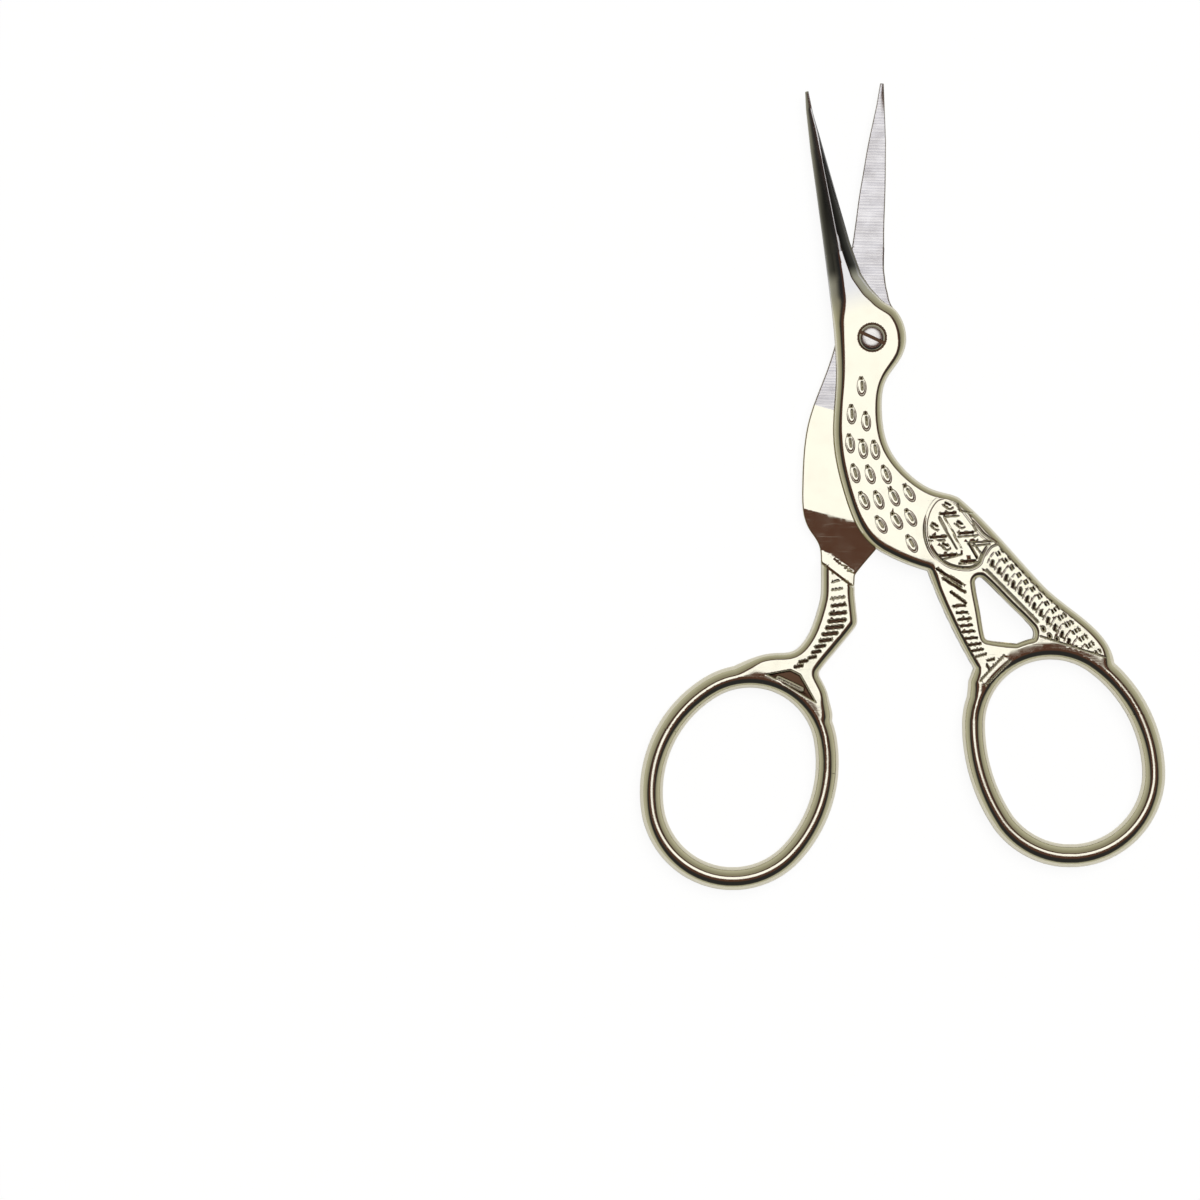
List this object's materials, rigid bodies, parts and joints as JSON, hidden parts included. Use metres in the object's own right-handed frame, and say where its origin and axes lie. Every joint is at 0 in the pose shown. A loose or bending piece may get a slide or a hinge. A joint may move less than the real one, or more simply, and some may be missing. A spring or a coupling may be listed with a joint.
{
  "type": "stork embroidery scissors",
  "caption": "Small needlework scissors shaped as a stork: the blades are its beak, the halves its body, and its legs end in finger bows. They turn on a slotted screw.",
  "frame": {"origin": "on the pivot axis, in the flat back face that the pair lies on", "axes": "+X to the right bow, +Y to the blade tips, +Z out of the front, along the pivot axis towards the screw's head"},
  "size_m": [0.075, 0.1152, 0.0035],
  "materials": {
    "gold_plating": "mirror-polished pale gold plating on steel",
    "polished_steel": "bright ground and polished steel"
  },
  "bodies": {
    "rear": {"rear_half": "gold_plating", "pivot_screw": "polished_steel"},
    "front": {"front_half": "gold_plating"}
  },
  "joints": [
    {"name": "blade_pivot", "type": "hinge", "parent": "rear", "child": "front", "pos_m": [0, 0, 0.0017], "axis": [0, 0, 1], "range_deg": [-16.5, 135]}
  ]
}
